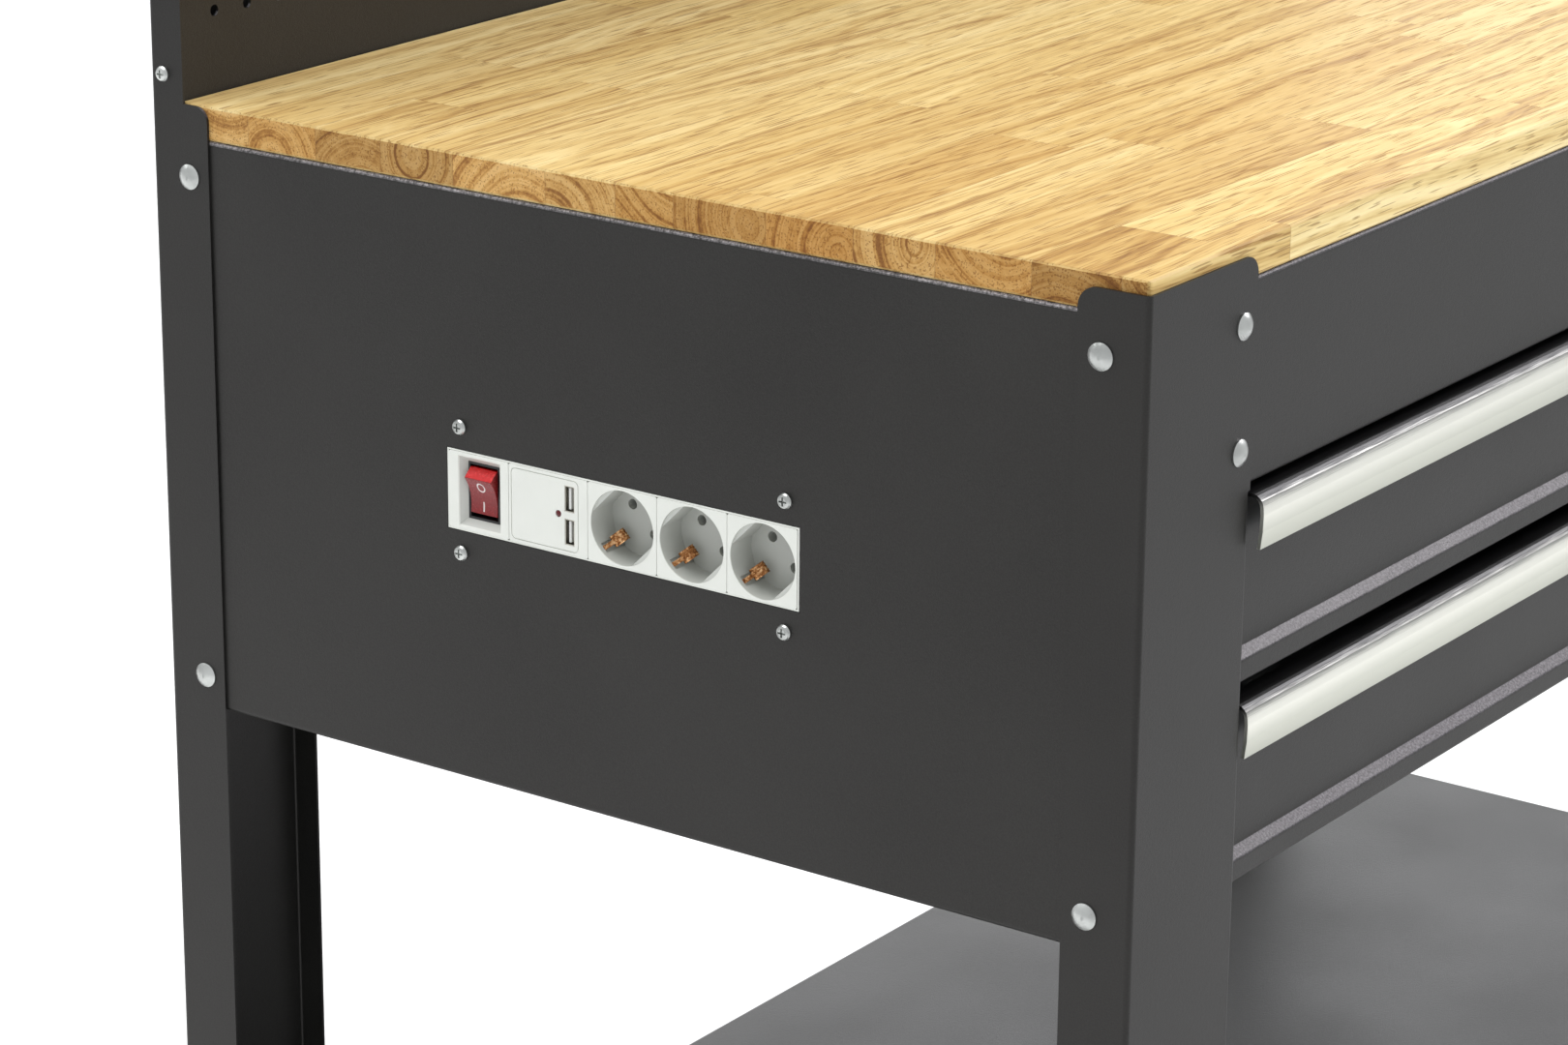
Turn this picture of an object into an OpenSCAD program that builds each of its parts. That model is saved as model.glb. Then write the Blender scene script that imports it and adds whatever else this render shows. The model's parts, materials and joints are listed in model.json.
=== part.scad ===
/* [Bench] */
// Overall length, left to right
bench_l = 1160; // [1100:10:1300]
// Overall depth, front to back
bench_d = 600; // [600:5:700]
// Height of the worktop surface
worktop_z = 850; // [840:5:950]
// Height of the rear posts
post_top_z = 1440; // [1440:10:1600]
// Thickness of the frame sheet
sheet = 1.5; // [1.5:0.1:1.6]
// Bend radius on the sheet's middle line
bend_r = 2; // [1.6:0.1:2.2]

/* [Posts] */
// Width of the front and back flanges
flange_w = 96; // [96:1:100]
// Width of the side flange of the posts
side_w = 38; // [38:1:40]
// Width of the rear post's side flange above the worktop
upper_side_w = 22; // [20:1:22]
// Depth of the lip that stiffens the flange
lip_w = 17; // [15:1:17]
// Height of the wood that the front posts cover
post_overlap = 11.4; // [8:0.2:12]
// Radius of the flanges' top corners
flange_corner_r = 10; // [4:1:12]

/* [Worktop and shelf] */
// Thickness of the wooden top
wood_t = 18; // [18:1:24]
// Height of the shelf surface
shelf_z = 150; // [120:5:250]
// Depth of the shelf's folded edge
shelf_edge = 30; // [26:1:36]

/* [Drawers] */
// Height of the upper drawer front's lower edge
upper_front_z = 630.6; // [629:0.2:632]
// Distance between the two drawer fronts
drawer_pitch = 106; // [105:0.5:106]
// Height of the drawer front's sheet
front_h = 94.6; // [94:0.2:95]
// Full travel of a drawer
drawer_travel = 500; // [460:10:500]
// How far the upper drawer stands open at rest
upper_rest = 4; // [0:0.5:10]
// Height of the drawer tray's walls
tray_h = 76; // [66:1:78]
// Depth of the drawer tray
tray_l = 550; // [510:5:550]

/* [Pegboard] */
// Diameter of a peg hole
peg_d = 6; // [4:0.5:8]
// Spacing of the peg holes
peg_pitch = 25; // [20:1:25]
// Columns to each side of the middle one
peg_cols_half = 22; // [10:1:22]
// Rows on each pegboard tray
peg_rows = 9; // [3:1:9]
// Height of one pegboard tray
peg_h = 296; // [290:1:297]

/* [Power strip] */
// Length of the strip's face
strip_l = 216.6; // [215:0.2:218]
// Height of the strip's face
strip_h = 42.2; // [42:0.1:43]
// Height of the strip's middle
strip_z = 676.4; // [660:0.2:690]
// Diameter of a socket's recess
socket_d = 38.6; // [38:0.1:38.8]
// Depth of a socket's recess
socket_deep = 17.5; // [15:0.5:18]
// Angle between the rocker's two positions
rocker_swing = 28; // [16:1:28]

/* [Fixings] */
// Diameter of the frame bolts
bolt_d = 6; // [5:0.5:6]
// Diameter of the floor anchor holes
anchor_d = 11; // [8:0.5:14]

/* [Hidden] */

$fn = 48;

LEFT = -1;
RIGHT = 1;
UPPER = 0;
LOWER = 1;

powder = "#3d3d3b";
steel = "#c8cacc";
aluminium = "#e2e2de";
wood = "#d2a56c";
white_plastic = "#ecece6";
copper = "#b5703c";

// How far a cut runs past the sheet it goes through
over = 5;

half_sheet = sheet / 2;
half_l = bench_l / 2;
half_d = bench_d / 2;
bend_out = bend_r + half_sheet;
bend_step = 15;

// Posts
post_x = half_l - half_sheet;
post_y = half_d - half_sheet;
inner_edge_x = half_l - flange_w;
lip_x = inner_edge_x + half_sheet;
front_post_z = worktop_z - wood_t + post_overlap;
shoulder_z = worktop_z - 0.5;
step_corner_r = 8;

// Side panels and rails
wood_z = worktop_z - wood_t;
panel_x = half_l - sheet - half_sheet;
panel_z = 521.5;
panel_return = 18;
panel_half_y = half_d - 3;
rail_z = wood_z - 101;
rail_half_l = 520;
rail_y = half_d - sheet - half_sheet;
rail_foot = 16;
rail_seat = 36;
lip_end_z = rail_z - 2;

// Worktop and shelf
wood_half_l = half_l - sheet - 0.2;
wood_front_y = -(half_d - sheet - 0.2);
wood_back_y = half_d - 18.5;
wood_corner_r = 3;
wood_chamfer = 1.2;
wood_round = 1;
crossbar_x = 250;
crossbar_w = 40;
crossbar_h = 32;
crossbar_gap = 3;
shelf_half_l = half_l - sheet - 0.3;
shelf_half_d = half_d - sheet - 0.3;
shelf_gap = 1;
crossbar_screw_y = [-200, 0, 200];

// Pegboard
peg_face_y = half_d - 18;
peg_back_y = half_d - 2.5;
peg_z = worktop_z - 5.2;
peg_gap = 1;
peg_margin = 48;
peg_screw_y = half_d - 9;
peg_screw_in = 19;

// Drawers
face_y = -(half_d - 12);
strip_edge = 4.8;
strip_edge_h = 11.2;
front_bend_r = 1.5;
front_half_l = inner_edge_x - 1.5;
front_return = 15;
handle_wall = 1.8;
handle_out = 13.2;
handle_belly = 1;
handle_tip_back = 1.6;
handle_drop = 25;
handle_belly_z = 13;
handle_r = 6;
handle_blade_r = 40;
handle_leg_t = 2;
handle_leg_h = 19.5;
handle_half_l = front_half_l - 0.5;
handle_tap_deep = 3.4;
handle_screw_step = 225;
handle_screw_drop = 11;
front_screw_in = 18;
front_screw_rise = [24, 68];
front_tab = [24, 8];
tray_sheet = 1.2;
tray_y = face_y + front_return;
tray_lift = 6;
tray_lip = 5;
slide_rise = 43.4;

// Runners: u is measured from the cabinet side, v from the runner's middle
runner_l = 500;
runner_y = tray_y + 1;
runner_t = 1.2;
runner_r = 1.2;
runner_w = 12.7;
runner_x = inner_edge_x + sheet;
tray_half_l = runner_x - runner_w;
outer_v = 22.5;
outer_u = 9.6;
outer_lip_v = 18.5;
middle_u = 2.4;
middle_v = 17.2;
inner_u = 5.5;
inner_v = 12.4;
big_ball_d = 4;
small_ball_d = 3.5;
big_ball_u = 5.5;
small_ball_u = 7.8;
ball_in = 15;
ball_step = 30;
balls_in_row = 8;
plate_return = 14;
rivet_d = 5;
rivet_head_d = 9;
rivet_head_t = 1;
rivet_hole_d = rivet_d + 0.2;
lip_rivet_y = half_d - 8.5;
lip_rivet_z = [545, 605, 650, 712];
runner_rivets = [20, 250, 480];

// Power strip: x runs inwards from the strip's face
face_x = -(half_l - 1);
strip_y = -1;
housing_deep = 38;
housing_wall = 0.8;
module_h = strip_h - 2 * housing_wall - 0.2;
switch_y = 69;
usb_y = 19.2;
socket_w = 42.5;
module_gap = 0.3;
module_deep = 30;
switch_frame_deep = 12;
end_y = strip_l / 2 - housing_wall - 0.1;
cutout_clear = 0.5;
strip_screw_y = 100;
strip_screw_z = 33.2;
switch_well_y = 87.8;
switch_well = [27, 37];
switch_opening = [20.2, 30.2];
switch_well_deep = 4;
rocker_w = 17;
rocker_pivot = 4;
rocker_slot = [17.7, 27.6];
port_y = 30.5;
port_z = 8.6;
port_size = [6, 13.4];
port_deep = 14;
tongue_in = 1;
tongue_y = 0.5;
tongue_t = 1.4;
tongue_h = 11;
lens_y = 37.5;
lens_d = 3.4;
pin_pitch = 19;
pin_d = 5.4;
bracket_half_l = 115;
bracket_half_h = 42;
bracket_clear = 2.4;
block_corner_r = 1.2;
body_deep = 24;
pivot_d = 2.5;
port_wall = 0.4;
lens_hole_d = lens_d + 0.2;
clip_w = 5;
clip_t = 0.7;
key_w = 20;
key_in = 2.4;
key_step = 1.2;
gland_d = 12;
gland_nut_d = 18;
gland_cap_d = 17;
gland_bore_d = 7.4;

// Fixings
side_bolt_y = half_d - 25;
side_bolt_z = [wood_z - 20.2, panel_z + 18.2];
rail_bolt_x = inner_edge_x + 11.5;
rail_bolt_z = [wood_z - 21, rail_z + 19];
shelf_bolt_z = shelf_z - 16;
shelf_bolt_x = half_l - 50;
shelf_bolt_y = half_d - 19;
bolt_hole_d = bolt_d + 0.4;
bolt_l = 14;
bolt_head_d = 13.3;
bolt_head_t = 3.3;
bolt_rim = 0.7;
screw_d = 4;
screw_l = 8;
screw_head_d = 8;
screw_head_t = 2.8;
screw_hole_d = 4.5;
screw_tap_d = 4.2;
drawer_screw_d = 3.3;
drawer_screw_l = 7;
drawer_screw_head_t = 2.4;
drawer_screw_hole_d = 4.4;
drawer_screw_tap_d = 3.4;
handle_screw_l = 2.8;
wood_screw_d = 3.8;
wood_screw_l = 14;
nut_af = 10;
nut_t = 5;
foot_w = 70;
foot_t = 5;
foot_r = 4;
anchor_x = half_l - 42;
anchor_y = half_d - 42;

// Bent sheet sections

function unit(v) = v / norm(v);
function left_of(v) = [-v[1], v[0]];
function turn_of(a, b) = a[0] * b[1] - a[1] * b[0];
function turned(p, a) = [p[0] * cos(a) - p[1] * sin(a), p[0] * sin(a) + p[1] * cos(a)];
function reversed(list) = [for (i = [len(list) - 1:-1:0]) list[i]];

// One bend's arc at the corner b, on the line that runs d to the left of the path
function bend_arc(a, b, c, r, d) =
  let (u = unit(b - a), v = unit(c - b), s = sign(turn_of(u, v)))
  let (angle = acos(max(-1, min(1, u * v))), steps = max(1, ceil(angle / bend_step)))
  let (centre = b - u * r * tan(angle / 2) + left_of(u) * r * s)
  [for (i = [0:steps]) centre + turned(-left_of(u) * s * (r - s * d), s * angle * i / steps)];

function radius_at(r, i) = is_list(r) ? r[i - 1] : r;

// The line that runs d to the left of a path with rounded corners
function side_line(path, r, d) =
  let (last = len(path) - 1)
  concat(
    [path[0] + left_of(unit(path[1] - path[0])) * d],
    [for (i = [1:last - 1]) each bend_arc(path[i - 1], path[i], path[i + 1], radius_at(r, i), d)],
    [path[last] + left_of(unit(path[last] - path[last - 1])) * d]
  );

module bent_sheet(path, r = bend_r, t = sheet) {
  polygon(concat(side_line(path, r, t / 2), reversed(side_line(path, r, -t / 2))));
}

function corner_points(x, y, r, from) =
  [for (i = [0:6]) [x + r * cos(from + 15 * i), y + r * sin(from + 15 * i)]];

// A rectangle with rounded corners, about its middle
module rounded_rect(w, h, r) {
  polygon(concat(
    corner_points(w / 2 - r, h / 2 - r, r, 0),
    corner_points(r - w / 2, h / 2 - r, r, 90),
    corner_points(r - w / 2, r - h / 2, r, 180),
    corner_points(w / 2 - r, r - h / 2, r, 270)
  ));
}

// A section in Y and Z, run along X
module along_x(from, to) {
  translate([from, 0, 0]) rotate([90, 0, 90]) linear_extrude(height = to - from) children();
}

// A section in X and Z, run along Y
module along_y(from, to) {
  translate([0, to, 0]) rotate([90, 0, 0]) linear_extrude(height = to - from) children();
}

// A section in X and Y, run along Z
module along_z(from, to) {
  translate([0, 0, from]) linear_extrude(height = to - from) children();
}

// Shapes are drawn for the left side and mirrored for the right
module on_side(side) {
  if (side == LEFT) children();
  else mirror([1, 0, 0]) children();
}

module at_back(back) {
  if (back) mirror([0, 1, 0]) children();
  else children();
}

module x_hole(x, y, z, d) {
  translate([x - over, y, z]) rotate([0, 90, 0]) cylinder(d = d, h = 2 * over);
}

module y_hole(x, y, z, d, deep = 2 * over) {
  translate([x, y + deep / 2, z]) rotate([90, 0, 0]) cylinder(d = d, h = deep);
}

// Takes the sharp corner off a sheet: section axes, corner at the origin, up and to the right
module corner_off(r) {
  difference() {
    translate([-r, -r]) square(r + 1);
    translate([-r, -r]) circle(r);
  }
}

// Posts

module post_section(lip, side_end) {
  flange_start = lip ? [[-lip_x, lip_w - half_d], [-lip_x, -post_y]] : [[-inner_edge_x, -post_y]];
  bent_sheet(concat(flange_start, [[-post_x, -post_y], [-post_x, side_end - half_d]]));
}

module post_lower(top_z) {
  shelf_low = shelf_z - shelf_edge - shelf_gap;
  shelf_high = shelf_z + shelf_gap;
  along_z(0, shelf_low) post_section(true, side_w);
  along_z(shelf_low, shelf_high) post_section(false, side_w);
  along_z(shelf_high, lip_end_z) post_section(true, side_w);
  along_z(lip_end_z, top_z) post_section(false, side_w);
}

module post_holes() {
  for (z = side_bolt_z) x_hole(-half_l, -side_bolt_y, z, bolt_hole_d);
  for (z = rail_bolt_z) y_hole(-rail_bolt_x, -half_d, z, bolt_hole_d);
  x_hole(-half_l, -shelf_bolt_y, shelf_bolt_z, bolt_hole_d);
  y_hole(-shelf_bolt_x, -half_d, shelf_bolt_z, bolt_hole_d);
  for (z = lip_rivet_z) x_hole(-lip_x, -lip_rivet_y, z, rivet_hole_d);
}

module post_front(side) {
  color(powder) on_side(side) difference() {
    post_lower(front_post_z);
    post_holes();
    along_y(-half_d - 1, -half_d + 3)
      translate([-inner_edge_x, front_post_z]) corner_off(flange_corner_r);
    along_x(-half_l - 1, -half_l + 3)
      translate([side_w - half_d, front_post_z]) corner_off(flange_corner_r);
  }
}

// The rear post is the front one turned about, and runs on up past the worktop
module post_rear(side) {
  color(powder) on_side(side) at_back(true) difference() {
    union() {
      post_lower(shoulder_z);
      along_z(shoulder_z, post_top_z) post_section(false, upper_side_w);
    }
    post_holes();
    along_x(-half_l - 1, -half_l + 3)
      translate([side_w - half_d, shoulder_z]) corner_off(step_corner_r);
    along_y(-half_d - 1, -half_d + 3)
      translate([-inner_edge_x, post_top_z]) corner_off(flange_corner_r);
    along_x(-half_l - 1, -half_l + 3)
      translate([upper_side_w - half_d, post_top_z]) corner_off(flange_corner_r);
    for (z = peg_screw_z) x_hole(-half_l, -peg_screw_y, z, screw_hole_d);
  }
}

module foot_plate() {
  translate([foot_w / 2 - half_l + sheet, foot_w / 2 - half_d + sheet, 0])
    difference() {
      linear_extrude(height = foot_t) rounded_rect(foot_w, foot_w, foot_r);
      translate([half_l - sheet - foot_w / 2 - anchor_x, half_d - sheet - foot_w / 2 - anchor_y, -1])
        cylinder(d = anchor_d, h = foot_t + 2);
    }
}

module foot_plates() {
  color(powder) for (side = [LEFT, RIGHT], back = [false, true])
    on_side(side) at_back(back) foot_plate();
}

// Panels, rails and their bars

module side_panel(side) {
  edge_x = panel_x - panel_return;
  color(powder) on_side(side) difference() {
    along_y(-panel_half_y, panel_half_y) bent_sheet([
      [-edge_x, panel_z + half_sheet], [-panel_x, panel_z + half_sheet],
      [-panel_x, wood_z - half_sheet], [-edge_x, wood_z - half_sheet]
    ]);
    for (z = side_bolt_z, y = [-side_bolt_y, side_bolt_y])
      x_hole(-panel_x, y, z, bolt_hole_d);
    if (side == LEFT) {
      translate([-panel_x - over, strip_y - strip_l / 2 - cutout_clear, strip_z - strip_h / 2])
        translate([0, 0, -cutout_clear])
          cube([2 * over, strip_l + 2 * cutout_clear, strip_h + 2 * cutout_clear]);
      for (y = [-strip_screw_y, strip_screw_y], z = [-strip_screw_z, strip_screw_z])
        x_hole(-panel_x, strip_y + y, strip_z + z, screw_hole_d);
    }
  }
}

module rail() {
  difference() {
    along_x(-rail_half_l, rail_half_l) bent_sheet([
      [rail_foot - half_d + sheet, rail_z + half_sheet], [-rail_y, rail_z + half_sheet],
      [-rail_y, wood_z - half_sheet], [rail_seat - half_d + sheet, wood_z - half_sheet]
    ]);
    for (x = [-rail_bolt_x, rail_bolt_x], z = rail_bolt_z)
      y_hole(x, -rail_y, z, bolt_hole_d);
  }
}

module front_rail() {
  color(powder) rail();
}

module rear_rail() {
  color(powder) at_back(true) rail();
}

function crossbar_screws() =
  [for (x = [-crossbar_x, crossbar_x], y = crossbar_screw_y) [x, y]];

module worktop_crossbars() {
  top = wood_z - sheet - half_sheet;
  half_w = crossbar_w / 2 - half_sheet;
  color(powder) difference() {
    for (x = [-crossbar_x, crossbar_x]) translate([x, 0, 0])
      along_y(crossbar_gap - panel_half_y, panel_half_y - crossbar_gap) bent_sheet([
        [-half_w, top - crossbar_h], [-half_w, top], [half_w, top], [half_w, top - crossbar_h]
      ]);
    for (p = crossbar_screws()) translate([p[0], p[1], top - over]) cylinder(d = screw_hole_d, h = 2 * over);
  }
}

module worktop_edge(from, to) {
  polygon([
    [from + wood_chamfer, wood_z], [to - wood_chamfer, wood_z],
    [to, wood_z + wood_chamfer], [to, worktop_z - wood_round],
    [to - wood_round, worktop_z], [from + wood_round, worktop_z],
    [from, worktop_z - wood_round], [from, wood_z + wood_chamfer]
  ]);
}

module worktop() {
  color(wood) difference() {
    intersection() {
      along_y(wood_front_y, wood_back_y) worktop_edge(-wood_half_l, wood_half_l);
      along_x(-wood_half_l, wood_half_l) worktop_edge(wood_front_y, wood_back_y);
      along_z(wood_z, worktop_z) translate([0, (wood_front_y + wood_back_y) / 2])
        rounded_rect(2 * wood_half_l, wood_back_y - wood_front_y, wood_corner_r);
    }
    for (p = crossbar_screws()) translate([p[0], p[1], wood_z - 1])
      cylinder(d = wood_screw_d + 0.1, h = wood_screw_l - 2 * sheet + 2);
  }
}

module shelf() {
  low_z = shelf_z - shelf_edge;
  top = shelf_z - half_sheet;
  x = shelf_half_l - half_sheet;
  y = shelf_half_d - half_sheet;
  color(powder) difference() {
    union() {
      along_y(bend_out - shelf_half_d, shelf_half_d - bend_out)
        bent_sheet([[-x, low_z], [-x, top], [x, top], [x, low_z]]);
      along_x(bend_out - shelf_half_l, shelf_half_l - bend_out)
        bent_sheet([[-y, low_z], [-y, top], [y, top], [y, low_z]]);
    }
    for (bx = [-shelf_bolt_x, shelf_bolt_x], by = [-y, y])
      y_hole(bx, by, shelf_bolt_z, bolt_hole_d);
    for (bx = [-x, x], by = [-shelf_bolt_y, shelf_bolt_y])
      x_hole(bx, by, shelf_bolt_z, bolt_hole_d);
  }
}

// Pegboard

peg_tray_z = [peg_z, peg_z + peg_h + peg_gap];
peg_screw_z = [for (z = peg_tray_z, rise = [peg_screw_in, peg_h - peg_screw_in]) z + rise];

module pegboard(z) {
  x = shelf_half_l - half_sheet;
  y = peg_face_y + half_sheet;
  half_cols = peg_cols_half * peg_pitch;
  color(powder) difference() {
    union() {
      along_z(z + bend_out, z + peg_h - bend_out)
        bent_sheet([[-x, peg_back_y], [-x, y], [x, y], [x, peg_back_y]]);
      along_x(bend_out - shelf_half_l, shelf_half_l - bend_out) bent_sheet([
        [peg_back_y, z + half_sheet], [y, z + half_sheet],
        [y, z + peg_h - half_sheet], [peg_back_y, z + peg_h - half_sheet]
      ]);
    }
    for (row = [0:peg_rows - 1], px = [-half_cols:peg_pitch:half_cols])
      y_hole(px, y, z + peg_margin + row * peg_pitch, peg_d);
    for (rise = [peg_screw_in, peg_h - peg_screw_in], bx = [-x, x])
      x_hole(bx, peg_screw_y, z + rise, screw_tap_d);
  }
}

// Drawers

function front_z(k) = upper_front_z - k * drawer_pitch;
function front_top(k) = front_z(k) + front_h;
function tray_z(k) = front_z(k) + tray_lift;
function slide_z(k) = front_z(k) + slide_rise;
function rest_open(k) = k == UPPER ? upper_rest : 0;

// A drawer's pieces stand this far forward of its closed place
module drawer_at_rest(k) {
  translate([0, -rest_open(k), 0]) children();
}

// The middle members of the runners go half as far as the drawer
module middle_at_rest(k) {
  translate([0, -rest_open(k) / 2, 0]) children();
}

module drawer_front(k) {
  z = front_z(k);
  top = front_top(k);
  y = face_y + half_sheet;
  back_y = tray_y;
  step_y = y - strip_edge;
  path = [
    [back_y - 3, z + half_sheet], [step_y, z + half_sheet], [step_y, z + strip_edge_h],
    [y, z + strip_edge_h + strip_edge], [y, top]
  ];
  color(powder) drawer_at_rest(k) difference() {
    union() {
      along_x(-front_half_l, front_half_l) bent_sheet(path, front_bend_r);
      for (side = [LEFT, RIGHT]) on_side(side) {
        along_x(-front_half_l, sheet - front_half_l)
          polygon(concat(side_line(path, front_bend_r, half_sheet), [[back_y, top], [back_y, z]]));
        translate([-front_half_l, back_y - sheet, z + front_tab[1]])
          cube([front_tab[0], sheet, front_h - 2 * front_tab[1]]);
      }
    }
    for (p = front_screw_places(k)) y_hole(p[0], back_y, p[1], drawer_screw_tap_d);
    for (p = handle_screw_places(k)) y_hole(p[0], y, p[1], drawer_screw_hole_d);
  }
}

function front_screw_places(k) =
  [for (x = [-1, 1] * (front_half_l - front_screw_in), rise = front_screw_rise) [x, front_z(k) + rise]];
function handle_screw_places(k) =
  [for (i = [-2:2]) [i * handle_screw_step, front_top(k) - handle_screw_drop]];

module drawer_handle(k) {
  top = front_top(k) + handle_wall / 2;
  color(aluminium) drawer_at_rest(k) difference() {
    union() {
      along_x(-handle_half_l, handle_half_l) bent_sheet([
        [face_y + sheet, top], [face_y - handle_out, top],
        [face_y - handle_out - handle_belly, top - handle_belly_z],
        [face_y - handle_out - handle_belly + handle_tip_back, top - handle_wall / 2 - handle_drop]
      ], [handle_r, handle_blade_r], handle_wall);
      translate([-handle_half_l, face_y - handle_leg_t, front_top(k) - handle_leg_h])
        cube([2 * handle_half_l, handle_leg_t, handle_leg_h + handle_wall / 2]);
    }
    for (p = handle_screw_places(k)) y_hole(p[0], face_y, p[1], drawer_screw_tap_d, handle_tap_deep);
  }
}

module drawer_tray(k) {
  z = tray_z(k) + tray_sheet / 2;
  top = tray_z(k) + tray_h - tray_sheet / 2;
  x = tray_half_l - tray_sheet / 2;
  color(powder) drawer_at_rest(k) difference() {
    along_y(tray_y, tray_y + tray_l) bent_sheet([
      [tray_lip - x, top], [-x, top], [-x, z], [x, z], [x, top], [x - tray_lip, top]
    ], bend_r, tray_sheet);
    for (side = [LEFT, RIGHT], along = runner_rivets)
      x_hole(side * tray_half_l, runner_y + along, slide_z(k), rivet_hole_d);
  }
}

// The tray's front and back walls, welded in between its sides
module drawer_walls(k) {
  low = tray_z(k) + tray_sheet;
  high = tray_z(k) + tray_h - tray_sheet;
  x = tray_half_l - tray_sheet - 0.1;
  corner = bend_r - tray_sheet / 2;
  color(powder) drawer_at_rest(k) difference() {
    for (wall_y = [tray_y, tray_y + tray_l - tray_sheet]) along_y(wall_y, wall_y + tray_sheet)
      polygon([
        [-x, low + corner], [corner - x, low], [x - corner, low], [x, low + corner],
        [x, high - corner], [x - corner, high], [corner - x, high], [-x, high - corner]
      ]);
    for (p = front_screw_places(k)) y_hole(p[0], tray_y, p[1], drawer_screw_hole_d);
  }
}

module pan_screw(d, l, head_d, head_t) {
  tip = d * 0.1;
  rotate_extrude() polygon([
    [0, -l], [d / 2 - tip, -l], [d / 2, tip - l], [d / 2, 0], [head_d / 2, 0],
    [head_d / 2, head_t * 0.4], [head_d * 0.42, head_t * 0.75], [head_d * 0.25, head_t], [0, head_t]
  ]);
}

// A pan-head screw with a cross recess: head up, thread down from the origin
module cross_screw(d, l, head_d, head_t) {
  difference() {
    pan_screw(d, l, head_d, head_t);
    for (a = [0, 90]) rotate([0, 0, a])
      translate([-head_d * 0.28, -head_d * 0.06, head_t * 0.35])
        cube([head_d * 0.56, head_d * 0.12, head_t]);
  }
}

module drawer_screws(k) {
  color(steel) drawer_at_rest(k) {
    for (p = front_screw_places(k)) translate([p[0], tray_y + tray_sheet, p[1]])
      rotate([-90, 0, 0]) cross_screw(drawer_screw_d, drawer_screw_l, screw_head_d, drawer_screw_head_t);
    for (p = handle_screw_places(k)) translate([p[0], face_y + sheet, p[1]])
      rotate([-90, 0, 0]) cross_screw(drawer_screw_d, handle_screw_l, screw_head_d, drawer_screw_head_t);
  }
}

// A rivet set flush at the origin, with its flat head on the far side of the two sheets
module flush_rivet(grip) {
  rotate([0, -90, 0]) {
    cylinder(d = rivet_d, h = grip);
    translate([0, 0, grip]) cylinder(d = rivet_head_d, h = rivet_head_t);
  }
}

module drawer_rivets(k) {
  grip = runner_t + tray_sheet;
  color(steel) drawer_at_rest(k) for (side = [LEFT, RIGHT], along = runner_rivets) on_side(side)
    translate([-tray_half_l - runner_t, runner_y + along, slide_z(k)])
      mirror([1, 0, 0]) flush_rivet(grip);
}

// Runners

// A section point of the left runner from its distances u and v
function runner_point(k, u, v) = [u - runner_x, slide_z(k) + v];

module runner_section(k, points) {
  along_y(runner_y, runner_y + runner_l)
    bent_sheet([for (p = points) runner_point(k, p[0], p[1])], runner_r, runner_t);
}

module runner_outer(k, side) {
  mid = runner_t / 2;
  color(steel) on_side(side) difference() {
    runner_section(k, [
      [outer_u - mid, -outer_lip_v], [outer_u - mid, mid - outer_v], [mid, mid - outer_v],
      [mid, outer_v - mid], [outer_u - mid, outer_v - mid], [outer_u - mid, outer_lip_v]
    ]);
    for (along = runner_rivets)
      x_hole(-runner_x, runner_y + along, slide_z(k), rivet_hole_d);
  }
}

module runner_middle(k, side) {
  mid = runner_t / 2;
  color(steel) middle_at_rest(k) on_side(side) runner_section(k, [
    [outer_u, mid - middle_v], [middle_u + mid, mid - middle_v],
    [middle_u + mid, middle_v - mid], [outer_u, middle_v - mid]
  ]);
}

module runner_inner(k, side) {
  mid = runner_t / 2;
  web_u = runner_w - mid;
  color(steel) drawer_at_rest(k) on_side(side) difference() {
    runner_section(k, [
      [inner_u, mid - inner_v], [web_u, mid - inner_v], [web_u, inner_v - mid], [inner_u, inner_v - mid]
    ]);
    for (along = runner_rivets)
      x_hole(-tray_half_l, runner_y + along, slide_z(k), rivet_hole_d);
  }
}

// Each row lies where its two members still overlap with the drawer right out
module ball_row(k, start_y, u, v, d) {
  p = runner_point(k, u, v);
  for (i = [0:balls_in_row - 1])
    translate([p[0], start_y + i * ball_step, p[1]]) sphere(d = d);
}

module runner_balls(k) {
  big_v = (outer_v - runner_t + middle_v) / 2;
  small_v = (middle_v - runner_t + inner_v) / 2;
  front_y = runner_y + ball_in;
  rear_y = front_y + drawer_travel / 2;
  color(steel) middle_at_rest(k) for (side = [LEFT, RIGHT], up = [-1, 1]) on_side(side) {
    ball_row(k, rear_y, big_ball_u, up * big_v, big_ball_d);
    ball_row(k, front_y, small_ball_u, up * small_v, small_ball_d);
  }
}

module runner_plate(side) {
  x = runner_x + half_sheet;
  out_x = x + plate_return;
  color(powder) on_side(side) difference() {
    along_y(-panel_half_y, panel_half_y) bent_sheet([
      [-out_x, panel_z + half_sheet], [-x, panel_z + half_sheet],
      [-x, lip_end_z - half_sheet], [-out_x, lip_end_z - half_sheet]
    ]);
    for (y = [-lip_rivet_y, lip_rivet_y], z = lip_rivet_z)
      x_hole(-x, y, z, rivet_hole_d);
    for (k = [UPPER, LOWER], along = runner_rivets)
      x_hole(-x, runner_y + along, slide_z(k), rivet_hole_d);
  }
}

module cabinet_rivets() {
  color(steel) for (side = [LEFT, RIGHT]) on_side(side) {
    for (y = [-lip_rivet_y, lip_rivet_y], z = lip_rivet_z)
      translate([-inner_edge_x, y, z]) flush_rivet(2 * sheet);
    for (k = [UPPER, LOWER], along = runner_rivets)
      translate([runner_t - runner_x, runner_y + along, slide_z(k)]) flush_rivet(runner_t + sheet);
  }
}

// Power strip

module in_strip() {
  translate([face_x, strip_y, strip_z]) children();
}

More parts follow.
